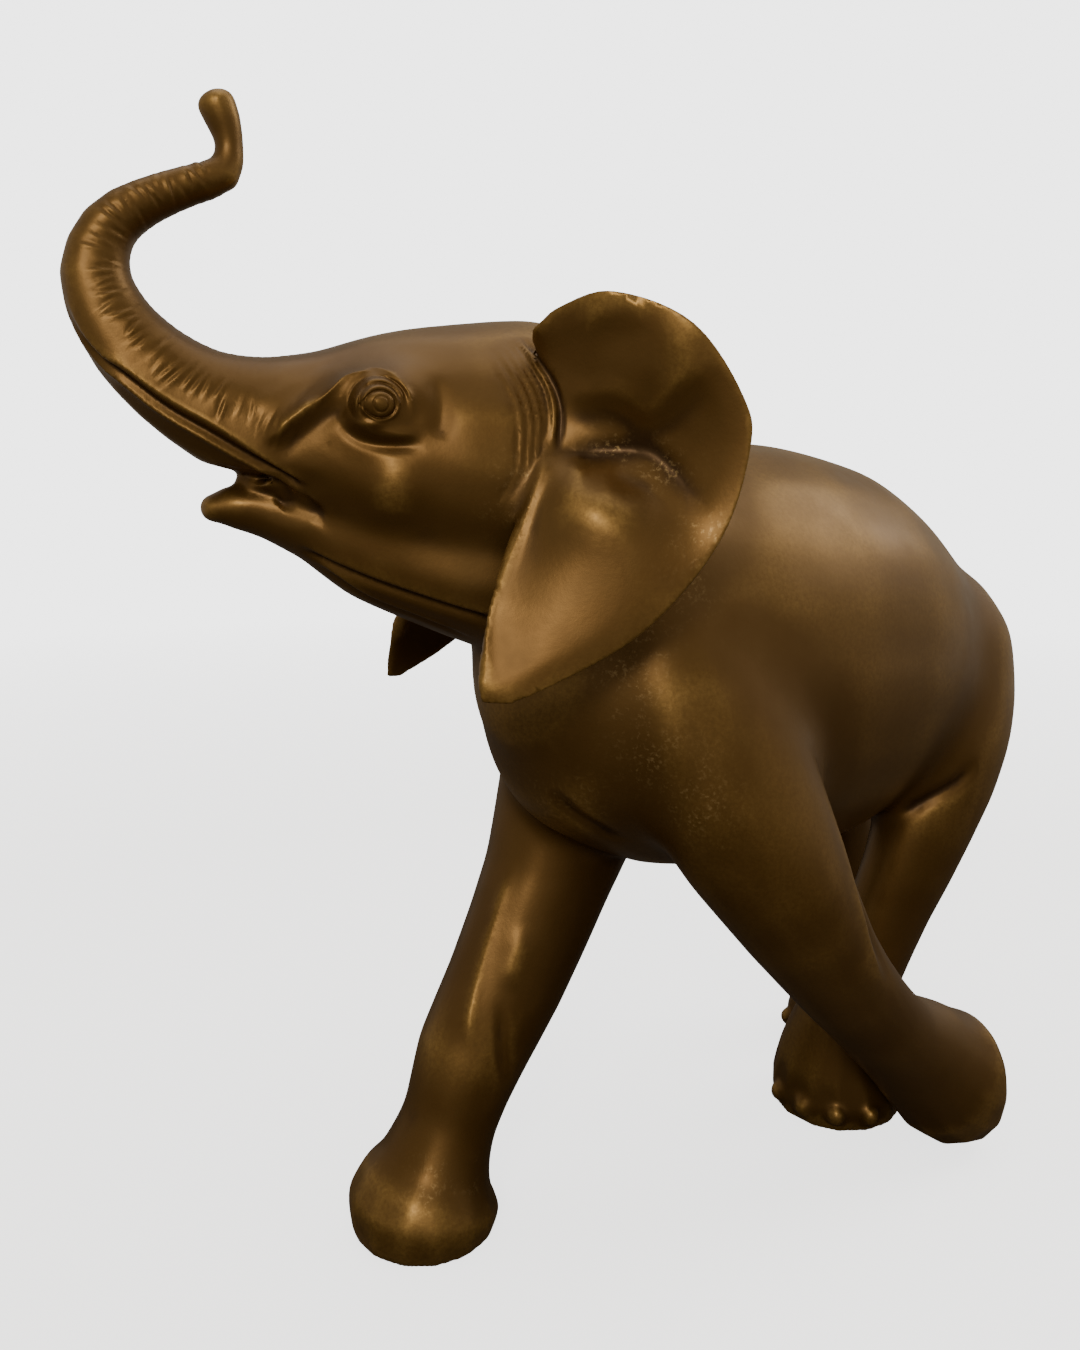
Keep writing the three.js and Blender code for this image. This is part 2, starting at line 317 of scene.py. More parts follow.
skin = read_skin()
masks = measure_masks(skin)
print("points on the ears:", int(masks["ear"].sum()))

# %% [markdown]
# The barrel has the widest facets and takes the hardest rubbing, the head and legs take less, and the trunk
# and the thin places least. An ear's two faces are so close together that hard rubbing would eat its rim, so
# there the points only move in the direction that the ear faces. The soles stay flat on the ground: their
# points move only sideways.

# %% Rub the facets down
EAR_FACES = np.array([-0.57, 0.82, 0.0]) / math.hypot(0.57, 0.82)
LEGS, FEET, HEAD, TRUNK = 0.25, 0.13, 0.30, 0.07  # how hard each is rubbed, against 1 for the barrel
BARREL_REACH, EAR_REACH, EYE_REACH, LAST_REACH = 14, 6.5, 8, 3.2  # millimetres that each rubbing evens out


def ear_facing(skin):
    """The outward direction of the nearer ear's broad face, for every point."""
    return flipped(EAR_FACES, side_of_head(skin)) @ HEAD_AXES


def breadth(skin):
    """How hard to rub: 1 on the barrel, less where the calf is slimmer."""
    head = to_head(skin)
    slim = np.full(len(skin), 1.0)
    slim = slim + (LEGS - slim) * (1 - step(skin[:, 2], 185, 235))
    slim = slim + (FEET - slim) * (1 - step(skin[:, 2], 40, 90))
    slim = slim + (HEAD - slim) * step(-head[:, 0], -20, 20) * step(skin[:, 2], 290, 320)
    return slim + (TRUNK - slim) * step(-head[:, 0], 95, 135) * step(skin[:, 2], 290, 320)


thin = np.maximum.reduce([masks["ear"], masks["mouth"], masks["trunk"], masks["toe"], masks["tail"]])
free = np.stack([np.ones(len(skin)), np.ones(len(skin)), 1 - masks["foot"]], axis=1)
skin = relax(skin, around, three((1 - thin) * breadth(skin)) * free, BARREL_REACH)
moved = relax(skin, around, three(masks["ear"]), EAR_REACH) - skin
facing = ear_facing(skin)
skin = skin + (moved * facing).sum(axis=1)[:, None] * facing
skin = relax(skin, around, three(np.maximum(0.8 * masks["ear"], 0.4)) * free, LAST_REACH)
skin = relax(skin, around, three(1 - step(eye_distance(skin), 20, 28)), EYE_REACH)
write_skin(skin)
print("smoothed", int((1 - thin).sum()), "broad points and", int(thin.sum()), "thin ones")

# %% [markdown]
# ### Lines drawn on the skin
# Most of the calf's folds follow a line: a brow, a jaw, the edge of a muscle. A modeller draws the line in
# the wax and then pushes wax up or down on each side of it. `mark` finds where every point lies against a
# line, and a short rule turns that into a height. For a line drawn backwards along the calf the upper side
# counts as positive, and for a line drawn downwards the rear side does.

# %% Helpers that draw on the skin
AT_ONCE = 5000  # points measured against a line in one go, to spare memory


def curve_through(path):
    """A smooth curve through the places of a path."""
    path = np.asarray(path, float)
    pins = np.vstack([2 * path[0] - path[1], path, 2 * path[-1] - path[-2]])
    t = np.linspace(0, 1, 6, endpoint=False)[:, None]
    runs = [
        b + 0.5 * t * (c - a + t * (2 * a - 5 * b + 4 * c - d + t * (3 * (b - c) + d - a)))
        for a, b, c, d in zip(pins, pins[1:], pins[2:], pins[3:])
    ]
    return np.vstack(runs + [path[-1:]])


def mark(places, facing, path, reach):
    """Distance aside from a line (signed), distance along it, and the line's length, all in millimetres."""
    line = curve_through(path)
    start, run = line[:-1], np.diff(line, axis=0)
    lengths = np.linalg.norm(run, axis=1)
    before = np.concatenate([[0], np.cumsum(lengths)])
    low, high = line.min(axis=0) - reach, line.max(axis=0) + reach
    near = np.nonzero(((places > low) & (places < high)).all(axis=1))[0]
    aside = np.full(len(places), FAR)
    along = np.zeros(len(places))
    for some in np.array_split(near, 1 + len(near) // AT_ONCE):
        offset = places[some][:, None, :] - start
        share = np.clip((offset * run).sum(axis=2) / lengths**2, 0, 1)
        gap = offset - share[:, :, None] * run
        nearest = (gap**2).sum(axis=2).argmin(axis=1)
        rows = np.arange(len(some))
        gap, out = gap[rows, nearest], facing[some]
        flat_gap = gap - (gap * out).sum(axis=1)[:, None] * out
        upper = np.sign((np.cross(gap, run[nearest]) * out).sum(axis=1))
        size = np.linalg.norm(flat_gap, axis=1)
        size[np.linalg.norm(gap, axis=1) > reach] = FAR
        aside[some] = np.where(upper < 0, -size, size)
        along[some] = before[nearest] + share[rows, nearest] * lengths[nearest]
    return aside, along, before[-1]


def draw(view, path, rule, reach=16, fade=(0.15, 0.15)):
    """Heights that a rule gives to each side of a line, fading at the line's ends."""
    aside, along, length = mark(*view, path, reach)
    share = along / length
    ends = step(share, 0, fade[0] + 1e-6) * (1 - step(share, 1 - fade[1] - 1e-6, 1))
    edge = 1 - step(np.abs(aside), 0.7 * reach, reach)
    return np.where(np.abs(aside) < reach, rule(aside) * ends * edge, 0)


def ridge(aside, height, below, above):
    """A crest on the line with slopes of two widths."""
    return height * np.exp(-np.where(aside < 0, -aside / below, aside / above))


def swell(view, centre, radii, height):
    """A soft swelling round a place."""
    away = ((view[0] - centre) / radii) ** 2
    return height * np.exp(-away.sum(axis=1))


def mirrored(points, normals, side):
    """A view in which one side of the calf lies at positive y; side 0 folds both sides together."""
    flip = np.where(points[:, 1] < 0, -1.0, 1.0) if side == 0 else np.full(len(points), float(side))
    return flipped(points, flip), flipped(normals, flip)


def head_view(points, normals):
    """Both sides of the head folded together, in the head's own millimetres."""
    return mirrored(to_head(points), normals @ HEAD_AXES.T, 0)


print("drawing tools ready")

# %% [markdown]
# ### A finer net for small carving
# The net is too wide for a crisp lip or a wrinkle. The squares on the face and the trunk are divided once,
# and those round the eyes once more, so the small carving stays crisp without a heavy mesh everywhere.

# %% Divide the net where the small carving goes
def finer(mask):
    """Divide the squares that lie inside a mask."""
    mesh = calf.data
    inside = mask > 0.5
    ends = np.empty(len(mesh.edges) * 2, dtype=int)
    mesh.edges.foreach_get("vertices", ends)
    corners = np.empty(len(mesh.loops), dtype=int)
    mesh.loops.foreach_get("vertex_index", corners)
    starts = np.empty(len(mesh.polygons), dtype=int)
    mesh.polygons.foreach_get("loop_start", starts)
    mesh.vertices.foreach_set("select", inside)
    mesh.edges.foreach_set("select", inside[ends].reshape(-1, 2).all(axis=1))
    mesh.polygons.foreach_set("select", np.logical_and.reduceat(inside[corners], starts))
    only(calf)
    bpy.ops.object.mode_set(mode="EDIT")
    bpy.ops.mesh.subdivide(number_cuts=1)
    bpy.ops.object.mode_set(mode="OBJECT")


def on_face(skin):
    """1 on the trunk, the lips, the cheeks and the jaw."""
    head = to_head(skin)
    return step(-head[:, 0], 46, 54) * step(head[:, 2], 318, 326)


finer(on_face(read_skin()))
finer(1 - step(eye_distance(read_skin()), 20, 22))
around = neighbours(calf.data)
print("the skin now has", len(calf.data.vertices), "points")

# %% [markdown]
# ### The head's broad forms
# The calf trumpets, so the trunk's lower skin makes a crisp edge down each side, with a hollow and a finer
# edge under it. The brow runs from the trunk to the eye as a sharp crest, the cheekbone is a soft swelling
# below it, and the jaw ends underneath in two thin edges with a hollow between them. A shallow dent marks the
# corner of the mouth. Each is one line or one swelling, drawn once for both sides.

# %% Shape the head
BROW = [
    (-139, 28, 406), (-133, 31, 410), (-128, 33, 414.5), (-120, 34.5, 420.5), (-112, 35, 425.5),
    (-105, 35.5, 430.5), (-99, 36, 434.5), (-94, 38, 436.5),
]
JAW_EDGE = [
    (-126, 15, 366), (-122, 18, 364), (-112, 23, 359), (-100, 29, 354),
    (-85, 35, 348), (-69, 40, 342), (-52, 44, 336), (-42, 46, 332),
]
THROAT_EDGE = [
    (-120, 13, 361), (-106, 18, 352), (-92, 21, 343), (-77, 26, 334), (-62, 28, 326), (-48, 27, 316),
]
TRUNK_EDGE = [
    (-208, 10, 468), (-207, 11, 456), (-198, 15, 442), (-189, 19, 435), (-173, 22, 423),
    (-156, 25, 413), (-138, 28, 401), (-128, 28, 395), (-119, 29, 389),
]
MOUTH_CORNER = [(-124, 24, 389), (-119, 25, 384), (-115, 26, 378), (-112, 26, 370)]

skin, normals = read_skin(), read_normals()
head = head_view(skin, normals)
on_head = 1 - ear_mask(skin)
height = draw(head, TRUNK_EDGE, lambda a: (
    ridge(a, 2.0, 0.8, 4.0) - 3.0 * hump(a, -3.4, 2.4) + 1.0 * hump(a, -6.8, 0.8) - 1.4 * hump(a, -10, 4)
), 18, (0.3, 0.08))
height += draw(head, BROW, lambda a: ridge(a, 3.4, 2.0, 7.0) - 1.4 * hump(a, -6.5, 4), 20, (0.25, 0.25))
height += draw(head, JAW_EDGE, lambda a: ridge(a, 1.2, 0.9, 3.5) - 2.6 * hump(a, -4.2, 2.6), 14, (0.15, 0.1))
height += draw(head, THROAT_EDGE, lambda a: ridge(a, 1.2, 1.2, 1.2) - 1.4 * hump(a, -4, 3), 12, (0.2, 0.3))
height += draw(head, MOUTH_CORNER, lambda a: (
    0.4 * hump(a, 2.0, 2.2) - 0.6 * hump(a, -1.8, 1.8)
), 9, (0.4, 0.5))
height += swell(head, (-88, 43, 387), (13, 18, 17), 4.2)
height += swell(head, (-140, 17, 379), (14, 10, 7), -0.8)
skin += normals * (height * on_head)[:, None]
write_skin(skin)
print("tallest push on the head:", round(float(np.abs(height).max()), 1), "mm")

# %% [markdown]
# ### The ears
# Both faces of an ear move together, or it would grow thick and thin. So an ear's forms are pushed along the
# one direction that its broad face looks in: two soft swellings above, a lit fold, a deep crease, the full
# lower lobe under it, and a rolled front rim.

# %% Shape the ears
EAR_FOLD = [
    (-21, 52, 429), (-13, 59, 427), (-4, 69, 427), (2, 75, 424), (8, 80, 421), (16, 87, 430), (30, 95, 441),
]
EAR_CREASE = [
    (-22, 60, 401), (-9, 60, 402), (-2, 66, 403), (5, 72, 403), (12, 79, 400), (22, 86, 388), (29, 92, 376),
]
EAR_FRONT = [(-25, 56, 404), (-34, 60, 386), (-42, 61, 366), (-53, 66, 342), (-58, 72, 322), (-63, 77, 303)]

EAR_RIM = np.array([
    (-33, 50, 453), (-22, 60, 461), (-6, 78, 465), (22, 92, 452), (42, 98, 422), (44, 98, 402),
    (33, 96, 368), (6, 92, 335), (-28, 86, 314), (-60, 78, 302), (-57, 70, 330), (-46, 62, 362),
], dtype=float)
EAR_MIDDLE = np.array([-5.0, 75.0, 385.0])
RIM_WORN = 3.2  # millimetres that the rubbing took off the rim
RIM_REACH = 16  # millimetres from the rim's line that the filing touches


def file_rim(skin, side):
    """Spread an ear's rim outwards and file it to its line; side is -1 for the left ear."""
    rim = EAR_RIM.copy()
    share = np.concatenate([[0], np.cumsum(np.linalg.norm(np.diff(rim, axis=0), axis=1))])
    low = step(share / share[-1], 0.4, 0.85)
    if side > 0:
        rim += np.stack([-11 * low, np.full(len(low), 14), -20 * low], axis=1)
    flip = np.array([1.0, side, 1.0])
    ear = to_head(skin) * flip
    facing = np.broadcast_to(EAR_FACES, ear.shape)
    aside, along, length = mark(ear, facing, rim, RIM_REACH)
    spread = RIM_WORN * step(aside, -10, -2)
    spread -= np.maximum(aside + spread, 0)
    ends = step(along, 0, 12) * (1 - step(along / length, 0.72, 0.8))
    there = (ear[:, 1] > 30) * (np.abs(aside) < RIM_REACH) * ends
    outward = ear - EAR_MIDDLE
    outward -= (outward @ EAR_FACES)[:, None] * EAR_FACES
    outward /= np.linalg.norm(outward, axis=1)[:, None]
    return skin + ((spread * there)[:, None] * outward * flip) @ HEAD_AXES


skin, normals = read_skin(), read_normals()
head = head_view(skin, normals)
flat_ear = (head[0], np.broadcast_to(EAR_FACES, head[0].shape))
height = draw(flat_ear, EAR_FOLD, lambda a: 0.9 * hump(a, 0, 5) - 1.0 * hump(a, -10, 7), 30, (0.15, 0.3))
height += draw(flat_ear, EAR_CREASE, lambda a: 0.9 * hump(a, -7, 4) - 1.8 * hump(a, 1, 4), 26, (0.1, 0.4))
height += swell(flat_ear, (-9, 67, 381), (16, 40, 15), 3.4)
height += swell(flat_ear, (-11, 68, 453), (6, 30, 16), 1.2)
height += swell(flat_ear, (18, 87, 446), (9, 30, 13), 1.2)
push = (height * ear_mask(skin))[:, None] * flat_ear[1]
skin += flipped(push, side_of_head(skin)) @ HEAD_AXES
skin = file_rim(file_rim(skin, -1), 1)
head = head_view(skin, normals)
front = draw(head, EAR_FRONT, lambda a: ridge(a, 2.2, 1.8, 2.6), 12, (0.08, 0.08))
skin += normals * front[:, None]
write_skin(skin)
print("ears shaped")

# %% [markdown]
# ### The body and the legs
# The walk shows in a few clear lines: the sharp crest down the front of the planted foreleg with a groove
# inside the knee, the hollow at the foot of the chest, the long rear edge of the trailing leg and the fold
# where the flank meets the thigh. The calf's right side is modelled in the same way, but plainer.

# %% Shape the body and the legs
PLANTED_CREST = [
    (-97, 38, 200), (-99, 37, 190), (-109, 36, 167), (-120, 34, 144), (-130, 30, 126), (-136, 25, 105),
]
KNEE_GROOVE = [(-116, 21, 134), (-119, 19, 115), (-119, 18, 100), (-117, 18, 83)]
MUSCLE = [(-99, 22, 168), (-107, 22, 149), (-115, 22, 132)]
CHEST_CREASE = [(-118, 17, 252), (-107, 22, 240), (-98, 27, 231), (-87, 28, 224), (-78, 30, 219)]
TRAILING_EDGE = [(-26, 90, 270), (-12, 92, 255), (-4, 98, 225), (3, 107, 190), (14, 110, 158), (28, 110, 134)]
FLANK_FOLD = [(150, 82, 234), (139, 76, 221), (128, 64, 211), (120, 48, 197)]

skin, normals = read_skin(), read_normals()
right, left = mirrored(skin, normals, 1), mirrored(skin, normals, -1)
height = draw(right, PLANTED_CREST, lambda a: ridge(a, 2.4, 4, 5), 24, (0.3, 0.2))
height += draw(right, MUSCLE, lambda a: 1.4 * hump(a, 0, 6), 18, (0.4, 0.4))
height += draw(right, KNEE_GROOVE, lambda a: -1.6 * hump(a, 0, 2.6), 12, (0.4, 0.4))
height += draw(left, CHEST_CREASE, lambda a: -2.4 * hump(a, 0, 4), 16, (0.3, 0.3))
height += draw(left, TRAILING_EDGE, lambda a: ridge(a, 1.4, 4, 1.5) - 2.2 * hump(a, 6, 4), 18, (0.4, 0.3))
for side in (left, right):
    height += draw(side, FLANK_FOLD, lambda a: -3.0 * hump(a, 0, 4.5), 20, (0.4, 0.3))
skin += normals * height[:, None]
write_skin(skin)
print("tallest push on the body:", round(float(np.abs(height).max()), 1), "mm")

# %% [markdown]
# A last light smoothing takes the roughness of the pushes away and leaves the edges.

# %% Soften the pushes
SOFTEN_REACH = 1.6  # millimetres

skin = read_skin()
write_skin(relax(skin, around, three(1 - foot_mask(skin)), SOFTEN_REACH))
print("softened")

# %% [markdown]
# ### The eyes
# The eye sits in a mound of skin. The brow's crest runs over it as an arch, and below and behind it the
# mound ends in a cut edge. Inside, everything goes round the eye in rings: the ball, the opening with its
# pointed front corner, the lid, and two folds above it. Below hangs a soft pouch. All of it is a height over
# the flat of the cheek, seen from the side.

# %% Carve the eyes
EYE_ARCH = [
    (-104, 431.5), (-99, 435.3), (-94, 436.8), (-89, 435.6),
    (-85, 432), (-82, 427.5), (-80.3, 422), (-80, 416),
]
EYE_UNDER = [(-107, 422), (-105, 415.5), (-101, 411), (-95, 408.6), (-88, 407.8), (-81, 408), (-75, 409)]
EYE_BEHIND = [(-74, 436), (-72, 429), (-71, 422), (-71.5, 415), (-74, 409)]
BALL = 5.4  # radius of the part of the eyeball that shows
OUT = np.array([0.0, 1.0, 0.0])


def seen_from_side(head):
    """The head pressed flat on its middle plane, with everything facing sideways."""
    return head[0] * (1 - OUT), np.broadcast_to(OUT, head[0].shape)


def on_side(path):
    """A path of back and up on the head's middle plane."""
    return [(back, 0, up) for back, up in path]


skin, normals = read_skin(), read_normals()
head = head_view(skin, normals)
flat = seen_from_side(head)
back, up = head[0][:, 0] - EYE_AT[0], head[0][:, 2] - EYE_AT[1]
away = np.hypot(back, up)
over = step(up - 0.35 * back, -4, 3)
opening = np.where(back < 0, np.abs(up) / BALL + (back / 8.4) ** 2, np.hypot(back / 6.4, up / BALL))
height = draw(flat, on_side(EYE_ARCH), lambda a: (
    ridge(a, 1.5, 1.3, 3.2) - 0.7 * hump(a, -2.6, 1.2)
), 12, (0.25, 0.3))
height += draw(flat, on_side(EYE_UNDER), lambda a: (
    1.5 * hump(a, 2.6, 2.6) - 1.9 * hump(a, -2.0, 2.8)
), 14, (0.3, 0.3))
height += draw(flat, on_side(EYE_BEHIND), lambda a: (
    0.5 * hump(a, -4, 4) - 1.0 * hump(a, 3, 4)
), 14, (0.35, 0.2))
height += over * (0.9 * hump(away, 6.9, 0.9) - 0.7 * hump(away, 8.3, 0.6))
height += over * (0.8 * hump(away, 9.8, 0.8) - 0.7 * hump(away, 11.3, 0.6))
height -= 0.8 * (1 - step(opening, 0.9, 1.12))
height += 0.45 * hump(opening, 1.16, 0.12) * (1 - over)
height += 1.3 * hump(back, -3, 5.5) * hump(up, -7.6, 1.9)
ball = 2.2 * np.sqrt(np.clip(1 - (away / (1.15 * BALL)) ** 2, 0, 1)) - 0.35 * hump(away, 3.1, 0.4)
height += ball * step(1 - opening, 0, 0.12)
near = (head[0][:, 1] > 16) & (away < 34)
skin += (np.where(near, height, 0) * side_of_head(skin))[:, None] * HEAD_AXES[1]
write_skin(skin)
print("eye relief:", round(float(height[near].min()), 1), "to", round(float(height[near].max()), 1), "mm")

# %% [markdown]
# ### Wrinkles on the trunk and at the ear's root
# The modeller pressed short strokes across the trunk with a tool, close together near the tip and wider
# apart near the face. Each stroke is a low crest with a groove beside it, and a fixed random seed sets how
# far each one strays, so they look made by hand and still come out the same every time. A few long fine
# folds run down in front of the ear.

# %% Press the wrinkles
TRUNK_LINE = [
    (-94, 0, 402), (-122, 0, 408), (-144, 0, 416), (-163, 0, 427), (-179, 0, 441), (-191, 0, 456),
    (-197, 0, 474), (-192, 0, 491), (-178, 0, 502), (-160, 0, 510), (-147, 0, 515),
]
EAR_ROOT = [(-31, 30, 453), (-28, 38, 443), (-23, 46, 431), (-22, 51, 421), (-23, 53, 411), (-25, 55, 402)]
FIRST_STROKE, LAST_STROKE = 14.0, 6  # millimetres from the face and from the tip
FAINT_RIPPLE = 0.05  # millimetres, the low ripple between the strokes

skin, normals = read_skin(), read_normals()
head = head_view(skin, normals)
below, run, length = mark(*seen_from_side(head), TRUNK_LINE, 40)
round_at = np.arctan2(head[0][:, 1], below)  # 0 under the trunk, a half turn over it
girth = np.hypot(head[0][:, 1], below) * (round_at - math.pi / 2)  # millimetres over mid side
chance = np.random.default_rng(5)
height = np.zeros(len(skin))
stroke_at = FIRST_STROKE
while stroke_at < length - LAST_STROKE:
    spacing = 4.9 - 1.7 * stroke_at / length
    lean = chance.normal(0, 0.12)
    middle = chance.normal(4.5 - 5.5 * stroke_at / length, 2.2)
    half_length = chance.uniform(3.5, 6.5)
    off = run - stroke_at - lean * (girth - middle)
    press = hump(girth, middle, half_length) * chance.uniform(0.2, 0.5)
    height += press * (hump(off, 0, 0.9) - 0.9 * hump(off, 1.7, 0.9))
    stroke_at += spacing * chance.uniform(0.75, 1.3)
faint = FAINT_RIPPLE * np.sin(run * 1.55 + 1.3 * np.sin(girth * 0.23)) * step(girth, -4, 10)
height = (height + faint) * step(run, 24, 50) * (np.abs(below) < 38)

root = np.zeros(len(skin))
root += draw(head, EAR_ROOT, lambda a: (
    1.3 * hump(a, 0, 1.1) - 1.5 * hump(a, 2.8, 1.6) - 0.8 * hump(a, -2.6, 1.2)
), 9, (0.2, 0.2))
for forward, start, stop in ((5, 0.1, 0.25), (8.5, 0.25, 0.1), (12, 0.2, 0.3), (16, 0.35, 0.35)):
    fold_line = [(x - forward, y - 0.1 * forward, z - 0.6 * forward) for x, y, z in EAR_ROOT]
    fold_line.append((-38 - forward, 58, 384 - 0.6 * forward))
    root += draw(head, fold_line, lambda a: (
        -0.5 * hump(a, 0, 0.8) + 0.25 * hump(a, 1.8, 1.0)
    ), 8, (start, stop))
skin += normals * (height + root)[:, None]
write_skin(skin)
print("wrinkles pressed along", round(length), "mm of trunk")

# %% [markdown]
# ### Lighten the net
# Broad calm places don't need so many points. A decimate modifier takes them away where the skin is nearly
# flat and keeps them where it curves, down to a count that is easy to handle.

# %% Thin out the net
MOST_TRIANGLES = 190000
triangles = sum(len(face.vertices) - 2 for face in calf.data.polygons)
lighten = calf.modifiers.new("lighten", "DECIMATE")
lighten.ratio = min(1.0, MOST_TRIANGLES / triangles)
only(calf)
bpy.ops.object.modifier_apply(modifier=lighten.name)
print(triangles, "triangles became", len(calf.data.polygons))

# %% [markdown]
# ### Where the skin bends
# Creases get painted shade, a darker brown laid into the colour, and hands rub the crests, so the colour
# needs to know how the skin bends. The gap between a point and the middle of its neighbours tells: the point
# stands out on a crest and lies deep in a crease. The bend is measured over a few millimetres and kept on the
# points for the material to read.

# %% Measure the bend
BEND_ROUNDS, EVEN_ROUNDS = 8, 2  # rounds of smoothing: to find the bend, then to even it out


def keep_on_points(name, values):
    """Store one number on every point for the material."""
    layer = calf.data.attributes.new(name, "FLOAT", "POINT")
    layer.data.foreach_set("value", values.astype(np.float32))


skin, normals = read_skin(), read_normals()
around = neighbours(calf.data)
everywhere = three(np.ones(len(skin)))
worn = melt(skin, around, everywhere, BEND_ROUNDS)
bend = melt(three(((skin - worn) * normals).sum(axis=1)), around, everywhere, EVEN_ROUNDS)[:, 0]
print("bend in mm, by share:", [round(float(np.quantile(bend, q)), 3) for q in (0.02, 0.1, 0.5, 0.9, 0.98)])
keep_on_points("rubbed", step(bend, 0.15, 0.7))
# painted shade: the deeper a crease, the darker its colour
keep_on_points("shaded", step(-bend, 0.06, 0.5))

SCUFFS = [  # a place, its radius in millimetres and how strongly it is scuffed
    ((-98, -63, 272), 16, 0.9), ((-87, -77, 257), 15, 1.0), ((-83, -79, 243), 13, 0.9),
    ((-103, -57, 299), 14, 0.7), ((-117, 13, 246), 12, 0.6), ((-116, -12, 243), 14, 0.7),
    ((-108, -34, 247), 12, 0.6), ((-118, -58, 404), 9, 1.0), ((-107, -75, 396), 12, 0.7),
    ((-105, -95, 369), 13, 0.7), ((-99, -56, 323), 12, 0.9), ((-108, -47, 312), 10, 0.9),
    ((-74, -62, 344), 12, 0.5), ((-162, 22, 44), 12, 0.8), ((-134, 18, 39), 10, 0.6),
    ((-151, -37, 392), 10, 0.5), ((-156, -33, 380), 10, 0.5),
]
scuffed = np.zeros(len(skin))
for spot, size, amount in SCUFFS:
    scuffed = np.maximum(scuffed, swell((skin, normals), spot, (size, size, size), amount))
keep_on_points("scuffed", scuffed)

# %% [markdown]
# ## The bronze
# A founder colours bronze with hot chemicals: a thin brown patina, see-through where it is thin, and rubbed
# back to gold on crests. The darker brown in the creases is painted shade. Handling and small knocks leave
# pale specks in a few places. A coat of wax gives the tops their cool sheen.

# %% Material
PATINA, THIN_PATINA = (0.122, 0.060, 0.010), (0.150, 0.079, 0.018)
# painted shade: the dark brown laid into the creases
PAINTED_CREASE_SHADE = (0.032, 0.014, 0.004)
WORN_GOLD, SCUFF_GOLD = (0.42, 0.25, 0.07), (0.38, 0.25, 0.10)

bronze = bpy.data.materials.new("brown_patina_bronze")
bronze.use_nodes = True
tree = bronze.node_tree
shader = tree.nodes["Principled BSDF"]


def add_node(kind, **settings):
    """A node with its settings; inputs are given by name with spaces as underscores."""
    node = tree.nodes.new(kind)
    for name, value in settings.items():
        socket = node.inputs.get(name.replace("_", " "))
        if socket is None:
            setattr(node, name, value)
        else:
            socket.default_value = value
    return node


def join(source, output, target, slot):
    tree.links.new(source.outputs[output], target.inputs[slot])


def noise(size_mm, detail, roughness=0.55):
    """Cloudy noise with blobs of about a size, fixed to the bronze."""
    node = add_node("ShaderNodeTexNoise", Scale=1000 / size_mm, Detail=detail, Roughness=roughness)
    join(on_bronze, "Object", node, "Vector")
    return node


def remap(source, output, low, high, to_low=0.0, to_high=1.0):
    node = add_node("ShaderNodeMapRange")
    join(source, output, node, "Value")
    for slot, value in (("From Min", low), ("From Max", high), ("To Min", to_low), ("To Max", to_high)):
        node.inputs[slot].default_value = value
    return node


def times(first, second):
    """Two results multiplied."""
    node = add_node("ShaderNodeMath", operation="MULTIPLY")
    join(first, 0, node, 0)
    join(second, 0, node, 1)
    return node


def blend(amount, below, colour):
    """A colour laid over what is below it, by an amount."""
    node = add_node("ShaderNodeMix", data_type="RGBA")
    join(amount, 0, node, "Factor")
    if isinstance(below, tuple):
        node.inputs[6].default_value = (*below, 1)
    else:
        join(below, 2, node, 6)
    node.inputs[7].default_value = (*colour, 1)
    return node


def kept(name):
    node = add_node("ShaderNodeAttribute", attribute_name=name)
    return remap(node, "Fac", 0, 1)


on_bronze = add_node("ShaderNodeTexCoord")
clouds = remap(noise(70, 4), "Fac", 0.35, 0.65)
grain = noise(2.2, 3, 0.7)
specks = remap(grain, "Fac", 0.52, 0.66)
patches = remap(noise(11, 4, 0.7), "Fac", 0.42, 0.62)
colour = blend(clouds, PATINA, THIN_PATINA)
# painted shade: the creases are darkened in the colour
colour = blend(remap(kept("shaded"), 0, 0, 1, 0, 0.75), colour, PAINTED_CREASE_SHADE)
colour = blend(times(kept("rubbed"), remap(grain, "Fac", 0.3, 0.7, 0.25, 0.7)), colour, WORN_GOLD)
colour = blend(times(times(kept("scuffed"), specks), patches), colour, SCUFF_GOLD)
join(colour, 2, shader, "Base Color")
join(remap(noise(25, 3), "Fac", 0.3, 0.7, 0.36, 0.46), 0, shader, "Roughness")
shader.inputs["Metallic"].default_value = 0.7
shader.inputs["Coat Weight"].default_value = 0.06
shader.inputs["Coat Roughness"].default_value = 0.32
shader.inputs["Coat IOR"].default_value = 1.45
bumps = add_node("ShaderNodeBump", Strength=0.25, Distance=0.0002)
join(grain, "Fac", bumps, "Height")
join(bumps, "Normal", shader, "Normal")
calf.data.materials.clear()
calf.data.materials.append(bronze)
only(calf)
bpy.ops.object.shade_smooth()
print("patina nodes:", len(tree.nodes))

# %% [markdown]
# ## Floor and light
# The calf stands on plain pale paper that melts into a pale background without a horizon. The key light hangs
# over the viewer's left shoulder, a broad cool light lies overhead, and a third one fills in from the right.
# Pale paper would light the belly from below. In a studio black cloths hide it from the bronze, so rays that
# don't come straight from the camera find the paper dark.

# %% Paper
PAPER = (0.80, 0.80, 0.80, 1)
bpy.ops.mesh.primitive_plane_add(size=14, location=(0, 0, 0))
floor = bpy.context.object
floor.name = "studio_floor"
paper = bpy.data.materials.new("pale_paper")
paper.use_nodes = True
tree = paper.node_tree
surface = tree.nodes["Principled BSDF"]
surface.inputs["Roughness"].default_value = 0.9
surface.inputs["Base Color"].default_value = PAPER
glow = add_node("ShaderNodeEmission", Color=PAPER, Strength=2.7)
on_floor = add_node("ShaderNodeTexCoord")
from_calf = add_node("ShaderNodeVectorMath", operation="LENGTH")
melting = remap(from_calf, "Value", 0.7, 2.4)
see_through = add_node("ShaderNodeBsdfTransparent")
horizon = add_node("ShaderNodeMixShader")
seen = add_node("ShaderNodeLightPath")
dark = add_node("ShaderNodeBsdfDiffuse", Color=(0.10, 0.09, 0.08, 1))
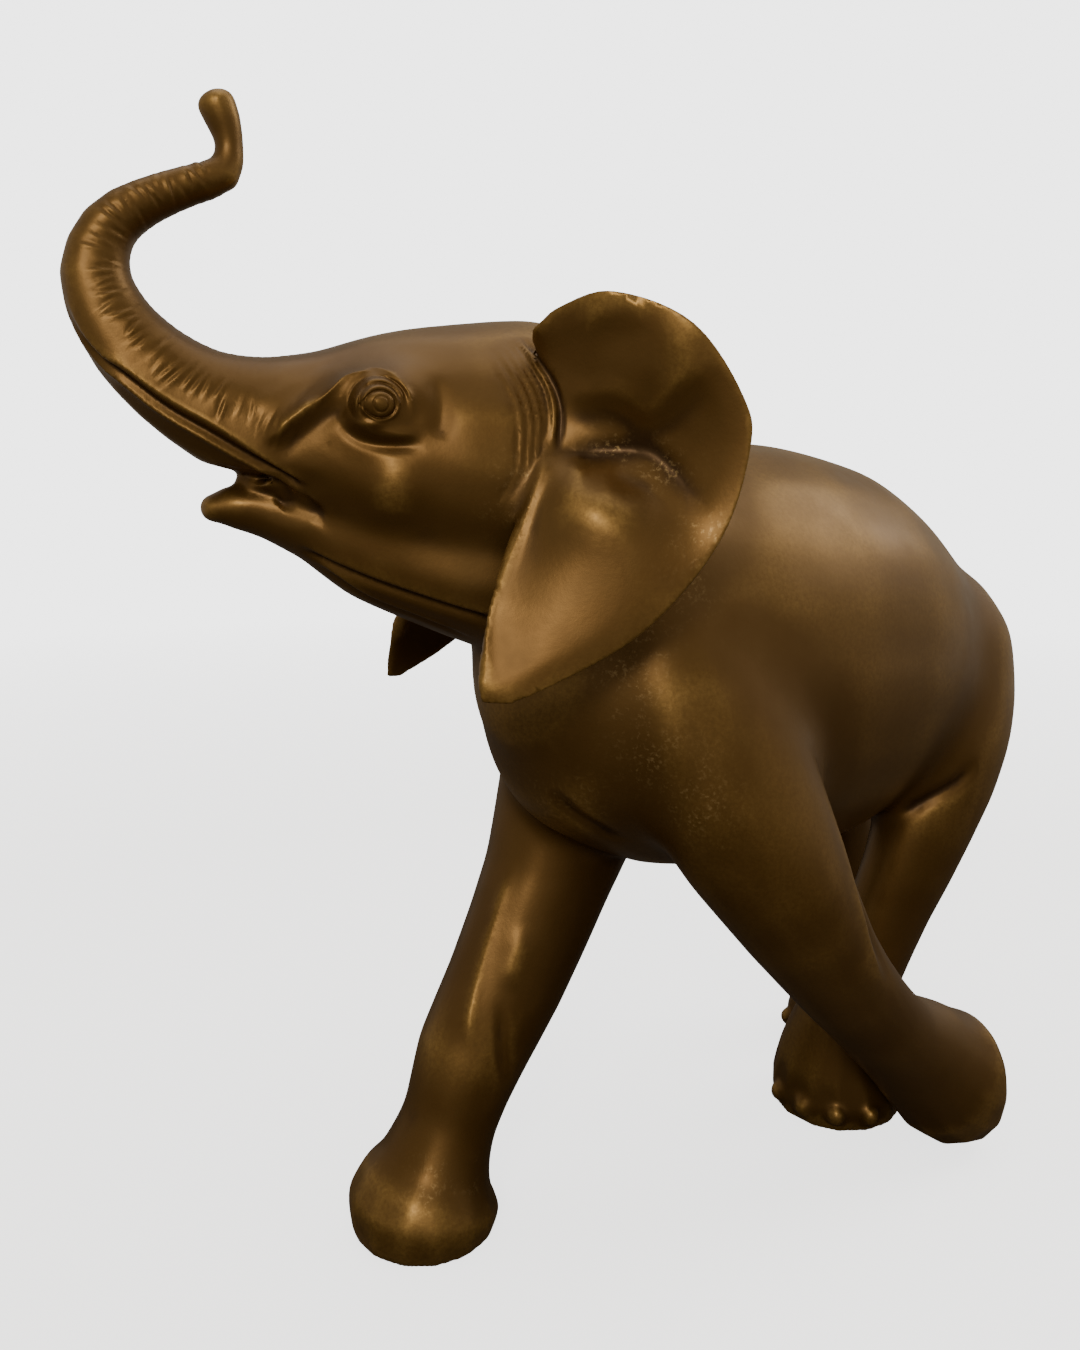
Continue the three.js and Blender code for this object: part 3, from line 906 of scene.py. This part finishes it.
paper_sum = add_node("ShaderNodeAddShader")
paper_mix = add_node("ShaderNodeMixShader")
join(surface, "BSDF", paper_sum, 0)
join(glow, "Emission", paper_sum, 1)
join(seen, "Is Camera Ray", paper_mix, "Fac")
join(dark, "BSDF", paper_mix, 1)
join(paper_sum, "Shader", paper_mix, 2)
join(on_floor, "Object", from_calf, 0)
join(melting, "Result", horizon, "Fac")
join(paper_mix, "Shader", horizon, 1)
join(see_through, "BSDF", horizon, 2)
join(horizon, "Shader", tree.nodes["Material Output"], "Surface")
floor.data.materials.append(paper)

sky = bpy.data.worlds.new("studio")
bpy.context.scene.world = sky
sky.use_nodes = True
tree = sky.node_tree
room = tree.nodes["Background"]
room.inputs["Color"].default_value = (0.92, 0.84, 0.72, 1)
room.inputs["Strength"].default_value = 0.45
backdrop = add_node("ShaderNodeBackground", Color=(1, 1, 1, 1), Strength=3.6)
seen = add_node("ShaderNodeLightPath")
sky_mix = add_node("ShaderNodeMixShader")
join(seen, "Is Camera Ray", sky_mix, "Fac")
join(room, "Background", sky_mix, 1)
join(backdrop, "Background", sky_mix, 2)
join(sky_mix, "Shader", tree.nodes["World Output"], "Surface")


# %% Lamps
def softbox(name, place, aim, size, watts, tint):
    """A square area light that points at a place."""
    lamp = bpy.data.lights.new(name, "AREA")
    lamp.size = size
    lamp.energy = watts
    lamp.color = tint
    box = bpy.data.objects.new(name, lamp)
    bpy.context.scene.collection.objects.link(box)
    box.location = place
    box.rotation_euler = (Vector(aim) - Vector(place)).to_track_quat("-Z", "Y").to_euler()
    return box


softbox("key", (-1.35, -1.05, 1.1), (0, 0, 0.3), 0.35, 10.5, (1.0, 0.91, 0.76))
softbox("overhead", (0.1, 0.1, 2.2), (0, 0, 0.2), 1.8, 13, (0.97, 0.97, 1.0))
softbox("fill", (1.7, -0.7, 1.6), (0, 0, 0.25), 1.2, 14, (1.0, 0.97, 0.92))

# %% [markdown]
# ## Hand over
# The skin stands for the solid and rides on the one body.

# %% Finish
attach(calf, "root")
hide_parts("elephant")
